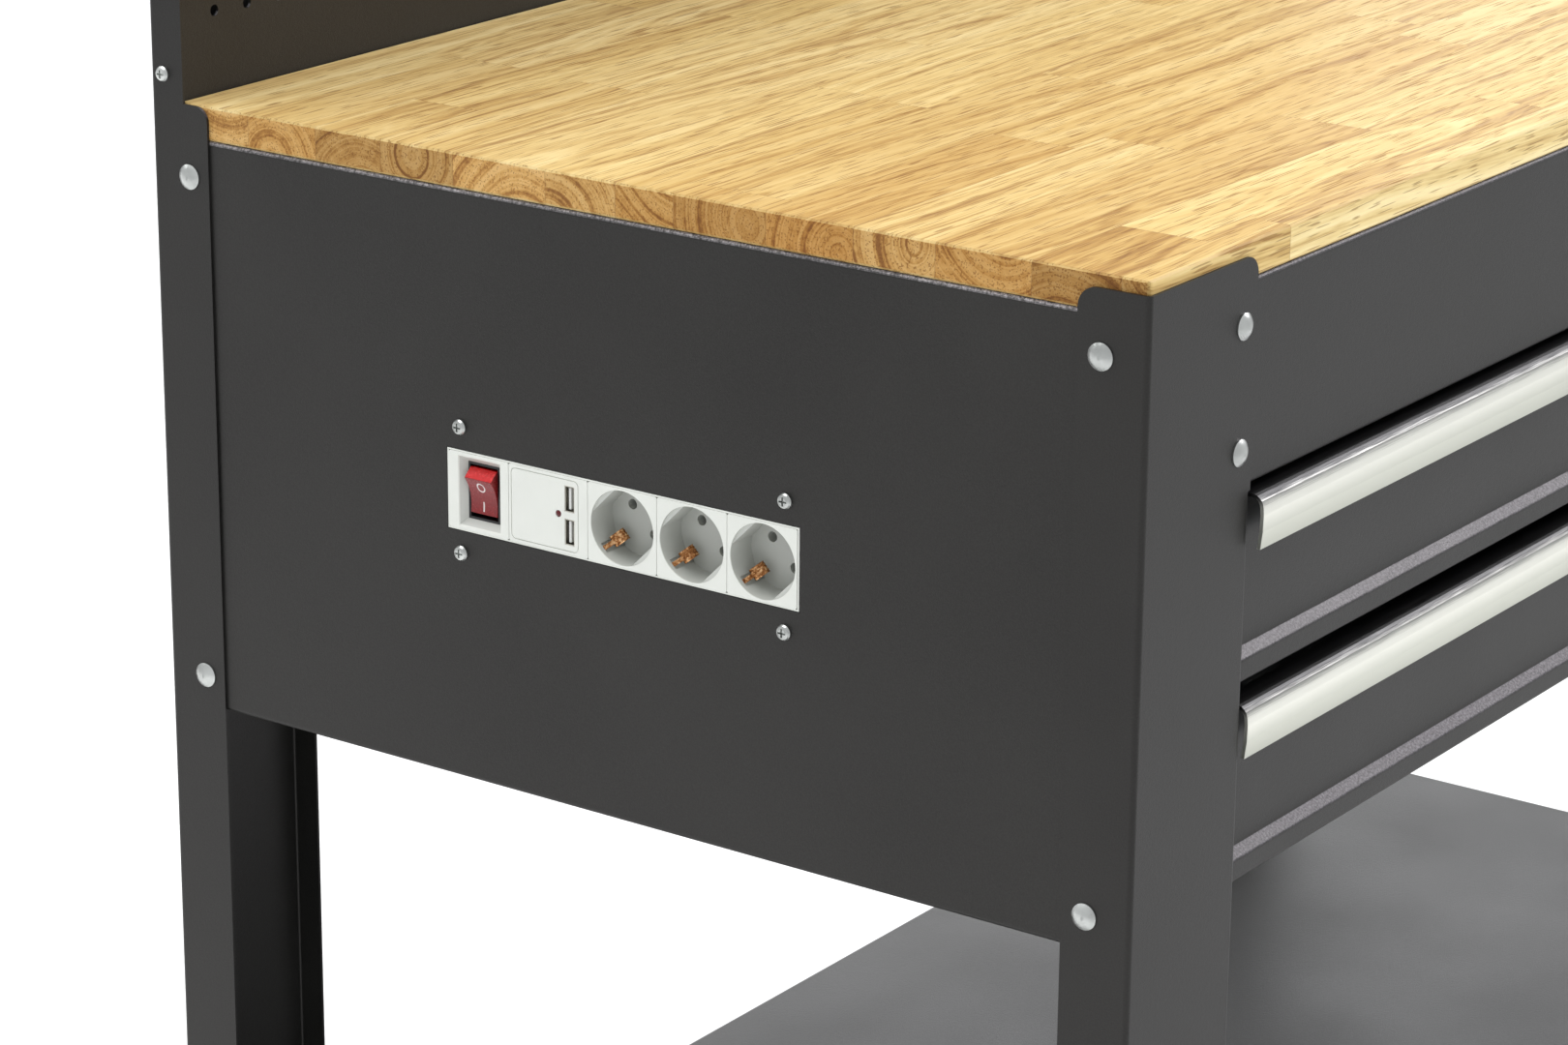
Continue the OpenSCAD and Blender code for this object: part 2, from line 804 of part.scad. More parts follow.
// A block behind the strip's face, from one place along it to another
module strip_block(from_y, to_y, deep) {
  translate([0, (from_y + to_y) / 2, 0]) rotate([90, 0, 90]) linear_extrude(height = deep)
    rounded_rect(to_y - from_y - module_gap, module_h, block_corner_r);
}

module strip_housing() {
  color(white_plastic) in_strip() difference() {
    translate([0.3, -strip_l / 2, -strip_h / 2]) cube([housing_deep - 0.3, strip_l, strip_h]);
    translate([-1, housing_wall - strip_l / 2, housing_wall - strip_h / 2])
      cube([housing_deep - 1, strip_l - 2 * housing_wall, strip_h - 2 * housing_wall]);
    translate([housing_deep / 2, strip_l / 2, 0])
      rotate([90, 0, 0]) cylinder(d = gland_d + 0.3, h = over, center = true);
  }
}

// The sloped well round the rocker switch, as a pyramid cut off at both ends
module switch_well_cut() {
  a = switch_well / 2;
  b = switch_opening / 2;
  d = switch_well_deep;
  polyhedron(
    points = [
      [-0.5, -a[0] - 0.4, -a[1] - 0.4], [-0.5, a[0] + 0.4, -a[1] - 0.4],
      [-0.5, a[0] + 0.4, a[1] + 0.4], [-0.5, -a[0] - 0.4, a[1] + 0.4],
      [d, -b[0], -b[1]], [d, b[0], -b[1]], [d, b[0], b[1]], [d, -b[0], b[1]]
    ],
    faces = [[0, 1, 2, 3], [7, 6, 5, 4], [0, 4, 5, 1], [1, 5, 6, 2], [2, 6, 7, 3], [3, 7, 4, 0]]
  );
}

module switch_frame() {
  color(white_plastic) in_strip() difference() {
    strip_block(switch_y, end_y, switch_frame_deep);
    translate([0, switch_well_y, 0]) {
      switch_well_cut();
      translate([switch_well_deep - 0.01, -switch_opening[0] / 2, -switch_opening[1] / 2])
        cube([body_deep, switch_opening[0], switch_opening[1]]);
    }
  }
}

module switch_body() {
  slot = rocker_slot;
  w = switch_opening[0] - 0.2;
  h = switch_opening[1] - 0.2;
  color("#1c1c1c") in_strip() translate([switch_well_deep, switch_well_y, 0]) difference() {
    translate([0, -w / 2, -h / 2]) cube([body_deep, w, h]);
    translate([-1, -slot[0] / 2, -slot[1] / 2]) cube([15, slot[0], slot[1]]);
    translate([rocker_pivot, 0, 0]) rotate([90, 0, 0]) cylinder(d = pivot_d, h = w - 1, center = true);
  }
}

// The rocker lies with its lower half pressed in, half its swing from the level place
module rocker() {
  color("#b3201c") in_strip() translate([switch_well_deep + rocker_pivot, switch_well_y, 0])
    rotate([0, -rocker_swing / 2, 0]) {
      rotate([90, 0, 0]) linear_extrude(height = rocker_w, center = true) polygon([
        [-7.2, 10], [-5.6, 5], [-5.1, 0], [-5.6, -5], [-7.2, -10], [-1, -13.2], [4, -11], [4, 11], [-1, 13.2]
      ]);
      rotate([90, 0, 0]) cylinder(d = pivot_d - 0.2, h = rocker_w + 1.6, center = true);
    }
}

module usb_module() {
  mid_y = (usb_y + switch_y) / 2;
  color(white_plastic) in_strip() difference() {
    strip_block(usb_y, switch_y, module_deep);
    for (z = [-port_z, port_z]) translate([-1, port_y - port_size[0] / 2 - 0.1, z - port_size[1] / 2 - 0.1])
      cube([port_deep + 1.2, port_size[0] + 0.2, port_size[1] + 0.2]);
    translate([-1, lens_y, 0]) rotate([0, 90, 0]) cylinder(d = lens_hole_d, h = 5);
    translate([-1, mid_y + 2.1, 0]) rotate([90, 0, 90]) linear_extrude(height = 1.5) difference() {
      rounded_rect(42.6, 37.4, 3);
      rounded_rect(41.6, 36.4, 2.5);
    }
  }
}

// Each port is a steel shell with its contact tongue
module usb_ports() {
  color(steel) in_strip() for (z = [-port_z, port_z]) translate([0.2, port_y, z]) {
    difference() {
      translate([0, -port_size[0] / 2, -port_size[1] / 2]) cube([port_deep, port_size[0], port_size[1]]);
      translate([-1, port_wall - port_size[0] / 2, port_wall - port_size[1] / 2])
        cube([port_deep - 1, port_size[0] - 2 * port_wall, port_size[1] - 2 * port_wall]);
    }
    translate([tongue_in, tongue_y - tongue_t / 2, -tongue_h / 2])
      cube([port_deep - tongue_in - 0.5, tongue_t, tongue_h]);
  }
}

module indicator_lens() {
  color("#6a1512") in_strip() translate([0.3, lens_y, 0]) rotate([0, 90, 0]) {
    cylinder(d = lens_d, h = 3);
    intersection() {
      translate([0, 0, 1.2]) sphere(r = 2.1);
      translate([0, 0, -0.9]) cylinder(d = lens_d, h = 1);
    }
  }
}

function socket_y(i) = usb_y - socket_w * (i + 0.5);

// One earthed socket: pins on one diagonal, earth clips on the other
module socket(i) {
  from_y = max(usb_y - socket_w * (i + 1), -end_y);
  pin_floor = socket_deep - 0.5;
  color(white_plastic) in_strip() difference() {
    strip_block(from_y, usb_y - socket_w * i, module_deep);
    translate([0, socket_y(i), 0]) rotate([0, 90, 0]) difference() {
      translate([0, 0, -1]) cylinder(d = socket_d, h = socket_deep + 1, $fn = 96);
      for (a = [135, 315]) rotate([0, 0, a])
        translate([socket_d / 2 - key_in, -key_w / 2, key_step]) cube([4, key_w, socket_deep]);
    }
    translate([0, socket_y(i), 0]) rotate([0, 90, 0]) {
      for (a = [135, 315]) rotate([0, 0, a])
        translate([pin_pitch / 2, 0, pin_floor]) cylinder(d = pin_d, h = 12);
      for (a = [45, 225]) rotate([0, 0, a])
        translate([socket_d / 2 - 1.2, -clip_w / 2 - 0.4, 3]) cube([2.4, clip_w + 0.8, socket_deep - 1]);
    }
  }
}

// Sprung earth contacts of bent copper strip, in the slots of the recess wall
module earth_clips() {
  r = socket_d / 2;
  color(copper) in_strip() for (i = [0:2]) translate([0, socket_y(i), 0]) rotate([0, 90, 0])
    for (a = [45, 225]) rotate([0, 0, a])
      rotate([90, 0, 0]) linear_extrude(height = clip_w, center = true) bent_sheet([
        [r + 0.4, 4], [r - 0.6, 6.5], [r - 3.4, 11], [r - 2.4, 14.5], [r + 0.3, socket_deep + 1]
      ], 1.2, clip_t);
}

module strip_bracket() {
  wall_z = strip_h / 2 + bracket_clear;
  flange_x = -panel_x + sheet;
  back_x = face_x + housing_deep + 2;
  color(powder) translate([0, strip_y, strip_z]) difference() {
    along_y(-bracket_half_l, bracket_half_l) bent_sheet([
      [flange_x, bracket_half_h], [flange_x, wall_z], [back_x, wall_z],
      [back_x, -wall_z], [flange_x, -wall_z], [flange_x, -bracket_half_h]
    ]);
    for (y = [-strip_screw_y, strip_screw_y], z = [-strip_screw_z, strip_screw_z])
      x_hole(flange_x, y, z, screw_tap_d);
  }
}

// The cable entry at the strip's rear end, with its clamping nut
module cable_gland() {
  color("#242424") in_strip() translate([housing_deep / 2, strip_l / 2 - housing_wall, 0])
    rotate([-90, 0, 0]) difference() {
      union() {
        translate([0, 0, -4]) cylinder(d = gland_d, h = 6);
        translate([0, 0, housing_wall]) cylinder(d = gland_nut_d, h = 4, $fn = 6);
        translate([0, 0, housing_wall + 4]) cylinder(d = gland_d + 2, h = 3);
        translate([0, 0, housing_wall + 7]) cylinder(d = gland_cap_d, h = 7, $fn = 6);
        translate([0, 0, housing_wall + 14]) cylinder(d1 = gland_cap_d - 2, d2 = gland_d - 1.5, h = 4);
      }
      translate([0, 0, -over]) cylinder(d = gland_bore_d, h = 30);
    }
}

// Bolts and screws

// A mushroom-head bolt: domed head up, shank down from the origin
module frame_bolt() {
  dome_r = (pow(bolt_head_d / 2, 2) + pow(bolt_head_t - bolt_rim, 2)) / (2 * (bolt_head_t - bolt_rim));
  translate([0, 0, -bolt_l]) cylinder(d = bolt_d, h = bolt_l + 0.5);
  cylinder(d = bolt_head_d, h = bolt_rim);
  intersection() {
    translate([0, 0, bolt_head_t - dome_r]) sphere(r = dome_r, $fn = 96);
    translate([0, 0, bolt_rim]) cylinder(d = bolt_head_d, h = bolt_head_t);
  }
}

module frame_nut() {
  difference() {
    cylinder(d = nut_af / cos(30), h = nut_t, $fn = 6);
    translate([0, 0, -1]) cylinder(d = bolt_d + 0.2, h = nut_t + 2);
  }
}

// Puts a fixing on the outside of the frame at every bolt place
module at_bolts(depth_in) {
  for (side = [LEFT, RIGHT], back = [false, true]) on_side(side) at_back(back) {
    for (z = side_bolt_z) translate([depth_in - half_l, -side_bolt_y, z]) rotate([0, -90, 0]) children();
    for (z = rail_bolt_z) translate([-rail_bolt_x, depth_in - half_d, z]) rotate([90, 0, 0]) children();
    translate([depth_in - half_l, -shelf_bolt_y, shelf_bolt_z]) rotate([0, -90, 0]) children();
    translate([-shelf_bolt_x, depth_in - half_d, shelf_bolt_z]) rotate([90, 0, 0]) children();
  }
}

module frame_bolts() {
  color(steel) at_bolts(0) frame_bolt();
}

module frame_nuts() {
  color(steel) at_bolts(2 * sheet + 0.3 + nut_t) frame_nut();
}

// The same screw holds the power strip in its panel and the pegboards between the rear posts
module panel_screws() {
  color(steel) {
    for (y = [-strip_screw_y, strip_screw_y], z = [-strip_screw_z, strip_screw_z])
      translate([-panel_x - half_sheet, strip_y + y, strip_z + z]) panel_screw();
    for (side = [LEFT, RIGHT], z = peg_screw_z) on_side(side)
      translate([-half_l, peg_screw_y, z]) panel_screw();
  }
}

module panel_screw() {
  rotate([0, -90, 0]) cross_screw(screw_d, screw_l, screw_head_d, screw_head_t);
}

module worktop_screws() {
  color(steel) for (p = crossbar_screws()) translate([p[0], p[1], wood_z - 2 * sheet])
    rotate([180, 0, 0]) cross_screw(wood_screw_d, wood_screw_l, screw_head_d, drawer_screw_head_t);
}

post_front(LEFT);  // post_front_left
post_front(RIGHT);  // post_front_right
post_rear(LEFT);  // post_rear_left
post_rear(RIGHT);  // post_rear_right
side_panel(LEFT);  // side_panel_left
side_panel(RIGHT);  // side_panel_right
front_rail();
rear_rail();
worktop();
worktop_crossbars();
shelf();
pegboard(peg_tray_z[0]);  // pegboard_lower
pegboard(peg_tray_z[1]);  // pegboard_upper
runner_plate(LEFT);  // runner_plate_left
runner_plate(RIGHT);  // runner_plate_right
runner_outer(UPPER, LEFT);  // runner_outer_upper_left
runner_outer(UPPER, RIGHT);  // runner_outer_upper_right
runner_outer(LOWER, LEFT);  // runner_outer_lower_left
runner_outer(LOWER, RIGHT);  // runner_outer_lower_right
runner_middle(UPPER, LEFT);  // runner_middle_upper_left
runner_middle(UPPER, RIGHT);  // runner_middle_upper_right
runner_middle(LOWER, LEFT);  // runner_middle_lower_left
runner_middle(LOWER, RIGHT);  // runner_middle_lower_right
runner_inner(UPPER, LEFT);  // runner_inner_upper_left
runner_inner(UPPER, RIGHT);  // runner_inner_upper_right
runner_inner(LOWER, LEFT);  // runner_inner_lower_left
runner_inner(LOWER, RIGHT);  // runner_inner_lower_right
runner_balls(UPPER);  // runner_balls_upper
runner_balls(LOWER);  // runner_balls_lower
drawer_tray(UPPER);  // drawer_tray_upper
drawer_tray(LOWER);  // drawer_tray_lower
drawer_walls(UPPER);  // drawer_walls_upper
drawer_walls(LOWER);  // drawer_walls_lower
drawer_front(UPPER);  // drawer_front_upper
drawer_front(LOWER);  // drawer_front_lower
drawer_handle(UPPER);  // drawer_handle_upper
drawer_handle(LOWER);  // drawer_handle_lower
drawer_screws(UPPER);  // drawer_screws_upper
drawer_screws(LOWER);  // drawer_screws_lower
drawer_rivets(UPPER);  // drawer_rivets_upper
drawer_rivets(LOWER);  // drawer_rivets_lower
cabinet_rivets();
foot_plates();
strip_housing();
switch_frame();
switch_body();
rocker();
usb_module();
usb_ports();
indicator_lens();
socket(0);  // socket_rear
socket(1);  // socket_middle
socket(2);  // socket_front
earth_clips();
strip_bracket();
cable_gland();
frame_bolts();
frame_nuts();
panel_screws();
worktop_screws();
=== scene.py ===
import json
import math

import bmesh
import bpy
from mathutils import Matrix, Vector


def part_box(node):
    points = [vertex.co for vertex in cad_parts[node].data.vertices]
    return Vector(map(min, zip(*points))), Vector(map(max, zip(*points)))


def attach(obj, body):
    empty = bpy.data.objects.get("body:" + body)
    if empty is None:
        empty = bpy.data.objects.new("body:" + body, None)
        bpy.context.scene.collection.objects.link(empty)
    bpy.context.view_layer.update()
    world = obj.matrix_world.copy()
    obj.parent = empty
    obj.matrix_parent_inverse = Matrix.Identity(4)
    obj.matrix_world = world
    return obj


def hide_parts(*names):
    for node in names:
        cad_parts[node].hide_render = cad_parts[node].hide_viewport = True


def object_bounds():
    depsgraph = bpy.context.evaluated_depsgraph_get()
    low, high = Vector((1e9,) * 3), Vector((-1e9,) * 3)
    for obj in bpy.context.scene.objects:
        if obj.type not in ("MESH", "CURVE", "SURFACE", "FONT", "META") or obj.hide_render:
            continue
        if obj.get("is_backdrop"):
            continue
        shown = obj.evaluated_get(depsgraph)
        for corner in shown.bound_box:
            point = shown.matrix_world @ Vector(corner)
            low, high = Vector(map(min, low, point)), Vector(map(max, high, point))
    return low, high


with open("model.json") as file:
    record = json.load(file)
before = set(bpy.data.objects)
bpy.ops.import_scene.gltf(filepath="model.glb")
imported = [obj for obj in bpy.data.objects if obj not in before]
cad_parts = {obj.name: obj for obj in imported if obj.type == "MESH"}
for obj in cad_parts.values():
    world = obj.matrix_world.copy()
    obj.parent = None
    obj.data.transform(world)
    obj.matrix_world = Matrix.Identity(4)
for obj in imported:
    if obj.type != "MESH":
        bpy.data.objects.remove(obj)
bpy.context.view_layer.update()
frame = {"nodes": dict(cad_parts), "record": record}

NODES = frame["nodes"]
MM = 0.001
STRIP = (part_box("strip_housing")[0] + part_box("strip_housing")[1]) / 2
WOOD_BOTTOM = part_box("worktop")[0].z
SOCKETS = ("socket_rear", "socket_middle", "socket_front")


class Material:
    """A node material. Textures read the object's own coordinates, in metres."""

    def __init__(self, name, color, roughness, metallic=0.0, specular=0.5):
        self.material = bpy.data.materials.new(name)
        self.material.use_nodes = True
        self.tree = self.material.node_tree
        self.shader = self.tree.nodes["Principled BSDF"]
        self.place = self.node("ShaderNodeTexCoord").outputs["Object"]
        self.normal = self.node("ShaderNodeNewGeometry").outputs["Normal"]
        self.join("Base Color", (*color, 1.0))
        self.join("Roughness", roughness)
        self.join("Metallic", metallic)
        self.join("Specular IOR Level", specular)

    def node(self, kind, settings=None, **sockets):
        made = self.tree.nodes.new(kind)
        for name, value in (settings or {}).items():
            setattr(made, name, value)
        for name, value in sockets.items():
            self.feed(made.inputs[name], value)
        return made

    def feed(self, socket, value):
        if isinstance(value, bpy.types.NodeSocket):
            self.tree.links.new(value, socket)
        else:
            socket.default_value = value

    def join(self, name, value):
        self.feed(self.shader.inputs[name], value)

    def math(self, operation, a, b=0.0):
        made = self.node("ShaderNodeMath", {"operation": operation})
        self.feed(made.inputs[0], a)
        self.feed(made.inputs[1], b)
        return made.outputs[0]

    def vector(self, operation, a, b=(0.0, 0.0, 0.0)):
        made = self.node("ShaderNodeVectorMath", {"operation": operation})
        self.feed(made.inputs[0], a)
        self.feed(made.inputs[3] if operation == "SCALE" else made.inputs[1], b)
        return made.outputs["Value" if operation == "LENGTH" else "Vector"]

    def parts(self, vector):
        made = self.node("ShaderNodeSeparateXYZ", Vector=vector)
        return made.outputs[0], made.outputs[1], made.outputs[2]

    def combine(self, x, y, z):
        return self.node("ShaderNodeCombineXYZ", X=x, Y=y, Z=z).outputs[0]

    def weigh(self, *pairs):
        """Sum of values times their weights."""
        total = None
        for value, weight in pairs:
            part = self.math("MULTIPLY", value, weight)
            total = part if total is None else self.math("ADD", total, part)
        return total

    def centred(self, value, gain):
        """A value from 0 to 1 as a swing about nothing."""
        return self.math("MULTIPLY", self.math("SUBTRACT", value, 0.5), gain)

    def noise(self, scale, detail, stretch=(1, 1, 1), rough=0.5):
        at = self.vector("MULTIPLY", self.place, tuple(stretch))
        return self.cloud_at(at, scale, detail, rough)

    def cloud_at(self, at, scale, detail, rough=0.5):
        made = self.node("ShaderNodeTexNoise", Vector=at, Scale=scale, Detail=detail, Roughness=rough)
        return made.outputs["Fac"]

    def line_noise(self, at, detail):
        made = self.node("ShaderNodeTexNoise", {"noise_dimensions": "1D"}, W=at, Scale=1.0, Detail=detail)
        return made.outputs["Fac"]

    def chance(self, at):
        """Three numbers from 0 to 1 that hang on the given vector only, as a colour."""
        return self.node("ShaderNodeTexWhiteNoise", {"noise_dimensions": "3D"}, Vector=at).outputs["Color"]

    def ramp(self, value, stops):
        made = self.node("ShaderNodeValToRGB", Fac=value)
        while len(made.color_ramp.elements) < len(stops):
            made.color_ramp.elements.new(0.5)
        for element, (where, color) in zip(made.color_ramp.elements, stops):
            element.position = where
            element.color = (*color, 1.0)
        return made.outputs["Color"]

    def range(self, value, low, high, to_low, to_high):
        made = self.node("ShaderNodeMapRange", Value=value)
        for socket, number in zip(made.inputs[1:5], (low, high, to_low, to_high)):
            socket.default_value = number
        return made.outputs[0]

    def mix(self, share, a, b, blend="MIX"):
        made = self.node("ShaderNodeMix", {"data_type": "RGBA", "blend_type": blend})
        for socket, value in ((made.inputs[0], share), (made.inputs[6], a), (made.inputs[7], b)):
            if hasattr(value, "__len__") and len(value) == 3:
                value = (*value, 1.0)
            self.feed(socket, value)
        return made.outputs[2]

    def times(self, color, factor):
        """A colour times another one."""
        return self.mix(1.0, color, factor, "MULTIPLY")

    def shaded(self, color, tone):
        """A colour times a plain number."""
        return self.times(color, self.combine(tone, tone, tone))

    def bump(self, *layers):
        """Layers of (height, depth in metres), on top of one another."""
        normal = None
        for height, depth in layers:
            made = self.node("ShaderNodeBump", Height=height, Distance=depth, Strength=1.0)
            if normal is not None:
                self.feed(made.inputs["Normal"], normal)
            normal = made.outputs["Normal"]
        self.join("Normal", normal)


def powder_coat(name):
    """Fine-textured charcoal coating. Folds that face upwards get a painted highlight: a greyer, sparkling
    line of coat colour, lighter still on folds that face sideways.
    """
    color = (0.0115, 0.0115, 0.0105)
    warm_gloss = (1.0, 0.965, 0.945, 1.0)
    front_fold_highlight, side_fold_highlight = (0.080, 0.073, 0.082), (0.22, 0.21, 0.22)
    m = Material(name, color, 0.42, specular=0.42)
    m.join("Specular Tint", warm_gloss)
    grain = m.noise(1150, 3, rough=0.7)
    peel = m.noise(420, 2)
    cloud = m.noise(7, 3)
    sparkle = m.range(m.noise(760, 2, rough=0.6), 0.36, 0.64, 0.35, 1.75)

    sideways, _, up = m.parts(m.normal)
    # Painted highlight: folds that lean upwards but are not level get a lighter, sparkling colour, as if they
    # caught the light
    leans_up = m.range(up, 0.20, 0.62, 0.0, 1.0)
    not_level = m.range(up, 0.90, 0.985, 1.0, 0.0)
    on_side = m.range(m.math("ABSOLUTE", sideways), 0.2, 0.5, 0.0, 1.0)
    painted_fold_highlight = m.shaded(m.mix(on_side, front_fold_highlight, side_fold_highlight), sparkle)
    base = m.mix(m.math("MULTIPLY", leans_up, not_level), color, painted_fold_highlight)
    shade = m.range(m.weigh((grain, 0.6), (cloud, 0.4)), 0.36, 0.64, 0.45, 1.55)
    m.join("Base Color", m.shaded(base, shade))
    m.join("Roughness", m.range(m.weigh((cloud, 1.0), (grain, 0.5)), 0.4, 1.1, 0.34, 0.48))
    m.bump((grain, 0.12 * MM), (peel, 0.06 * MM))
    return m.material


def metal(name, color, roughness, stretch, scale, depth, stain):
    """Plated steel: fine scratches, and stains that take away up to the given share of its tone."""
    m = Material(name, color, roughness, metallic=1.0)
    scratch = m.noise(scale, 3, stretch)
    cloud = m.noise(60, 2)
    m.join("Base Color", m.shaded(color, m.range(cloud, 0.3, 0.7, 1 - stain, 1.0)))
    both = m.math("ADD", scratch, cloud)
    m.join("Roughness", m.range(both, 0.6, 1.4, roughness * 0.8, roughness * 1.25))
    m.bump((scratch, depth))
    return m.material


def plastic(name, color, roughness, stain, depth):
    """Moulded plastic with a fine grain and slight clouds."""
    m = Material(name, color, roughness)
    grain = m.noise(900, 2)
    cloud = m.noise(45, 2)
    m.join("Base Color", m.shaded(color, m.range(cloud, 0.3, 0.7, 1 - stain, 1 + stain)))
    m.join("Roughness", m.range(cloud, 0.3, 0.7, roughness * 0.9, roughness * 1.15))
    m.bump((grain, depth))
    return m.material


# The wooden top: its staves lie along x, each of blocks end to end
STAVE_W = 0.046
BLOCK_L = 0.34
STAVE_SEED, BLOCK_SEED = 3.7, 11.3
CELL_UNEVEN = 0.55
STAVE_STAGGER = 40.0
LOG_REACH_Y, LOG_REACH_Z = (-0.034, 0.034), (-0.045, 0.05)
LOG_WANDER = 0.018
FIGURE_COLORS = [(0.34, (0.30, 0.165, 0.060)), (0.425, (0.50, 0.325, 0.115)),
                 (0.50, (0.64, 0.465, 0.190)), (0.62, (0.74, 0.585, 0.285))]
BLOCK_TINTS = [(0.0, (0.84, 0.74, 0.62)), (0.2, (1.0, 0.99, 0.97)), (0.4, (0.90, 0.83, 0.73)),
               (0.6, (1.06, 1.07, 1.12)), (0.8, (0.98, 0.94, 0.86)), (1.0, (0.80, 0.68, 0.55))]
PORE_COLOR = (0.24, 0.115, 0.035)
GLUE_COLOR = (0.25, 0.13, 0.05)
END_TINT = (0.84, 0.64, 0.46)
FRONT_PAINTED_LIGHT = (1.34, 1.42, 1.52)
RING_STEP, LATE_RING_STEP = 150.0, 620.0


def cells(m, value, size, seed):
    """Uneven cells along one coordinate: each one's colour and middle, and the distance to the next gap."""
    at = m.math("ADD", m.math("DIVIDE", value, size), seed)
    near, edge = [m.node("ShaderNodeTexVoronoi", {"voronoi_dimensions": "1D", "feature": feature},
                         W=at, Scale=1.0, Randomness=CELL_UNEVEN).outputs
                  for feature in ("F1", "DISTANCE_TO_EDGE")]
    middle = m.math("MULTIPLY", m.math("SUBTRACT", near["W"], seed), size)
    return near["Color"], middle, m.math("MULTIPLY", edge["Distance"], size)


def log_axis(m, off_middle, draw, reach, along, lean, bend):
    """One coordinate across the log. Its middle lies off the stave, leans along it and wanders a little."""
    start = m.math("SUBTRACT", off_middle, m.range(draw, 0, 1, *reach))
    return m.math("ADD", start, m.weigh((along, lean), (bend, LOG_WANDER)))


def rubberwood(name):
    """Edge-glued staves of random tint, each cut from its own place in a log, so that the top shows figure
    and the ends show rings."""
    m = Material(name, (0.6, 0.4, 0.2), 0.5, specular=0.14)
    x, y, z = m.parts(m.place)
    stave_color, stave_y, gap_y = cells(m, y, STAVE_W, STAVE_SEED)
    stagger = m.math("MULTIPLY", m.parts(stave_color)[0], STAVE_STAGGER)
    block_color, _, gap_x = cells(m, m.math("ADD", x, stagger), BLOCK_L, BLOCK_SEED)
    block = m.chance(m.vector("ADD", m.vector("SCALE", stave_color, 7.0), block_color))
    across_draw, height_draw, tint_draw = m.parts(block)
    lean_draw, tip_draw, bend_draw = m.parts(m.chance(m.vector("ADD", block, (5.0, 9.0, 2.0))))

    bends = m.node("ShaderNodeTexNoise", {"noise_dimensions": "4D"},
                   Vector=m.vector("MULTIPLY", m.place, (5.0, 14.0, 14.0)),
                   W=m.math("MULTIPLY", bend_draw, 50.0), Scale=1.0, Detail=2.0).outputs["Color"]
    bend_y, bend_z, _ = m.parts(bends)
    log_y = log_axis(m, m.math("SUBTRACT", y, stave_y), across_draw, LOG_REACH_Y,
                     x, m.centred(lean_draw, 0.09), bend_y)
    log_z = log_axis(m, m.math("SUBTRACT", z, WOOD_BOTTOM), height_draw, LOG_REACH_Z,
                     x, m.centred(tip_draw, 0.07), bend_z)
    log = m.combine(m.weigh((x, 0.045), (tint_draw, 9.0)), log_y, log_z)
    radius = m.vector("LENGTH", m.combine(0.0, log_y, log_z))

    def rings_of(step, detail):
        return m.line_noise(m.weigh((radius, step), (tint_draw, 60.0)), detail)

    rings = m.weigh((rings_of(RING_STEP, 1.0), 0.6), (rings_of(LATE_RING_STEP, 2.0), 0.4))
    streaks = m.cloud_at(log, 330.0, 3.0, 0.65)
    broad = m.cloud_at(log, 60.0, 2.0)
    pore_at = m.vector("ADD", m.place, m.vector("SCALE", block, 3.0))
    pores = m.cloud_at(m.vector("MULTIPLY", pore_at, (50.0, 1150.0, 1150.0)), 1.0, 0.0)
    pore = m.range(pores, 0.63, 0.71, 0.0, 1.0)

    # The ends show their rings most, and drink more oil, so they are darker. The front face is painted paler,
    # a painted highlight where light falls on it
    along, across, _ = m.parts(m.normal)
    end = m.range(m.math("ABSOLUTE", along), 0.75, 0.95, 0.0, 1.0)
    front = m.range(across, -0.95, -0.75, 1.0, 0.0)
    rings = m.math("ADD", 0.5, m.centred(rings, m.range(end, 0.0, 1.0, 1.0, 2.1)))
    color = m.ramp(m.weigh((rings, 0.45), (streaks, 0.30), (broad, 0.25)), FIGURE_COLORS)
    color = m.times(color, m.ramp(tint_draw, BLOCK_TINTS))
    color = m.mix(m.math("MULTIPLY", pore, 0.62), color, PORE_COLOR)
    own = m.range(lean_draw, 0.0, 1.0, 0.74, 1.16)
    oiled = m.combine(*[m.math("MULTIPLY", own, part) for part in END_TINT])
    color = m.mix(m.math("MULTIPLY", end, 0.85), color, m.times(color, oiled))
    # Painted highlight: the front face is made lighter
    color = m.mix(front, color, m.times(color, FRONT_PAINTED_LIGHT))
    joint = m.range(m.math("MINIMUM", gap_y, gap_x), 0.1 * MM, 0.4 * MM, 1.0, 0.0)
    m.join("Base Color", m.mix(m.math("MULTIPLY", joint, 0.35), color, GLUE_COLOR))
    m.join("Roughness", m.range(m.math("ADD", streaks, pore), 0.3, 1.5, 0.44, 0.62))
    relief = m.math("SUBTRACT", streaks, m.math("MULTIPLY", pore, 0.8))
    m.bump((relief, 0.12 * MM), (joint, -0.04 * MM))
    return m.material


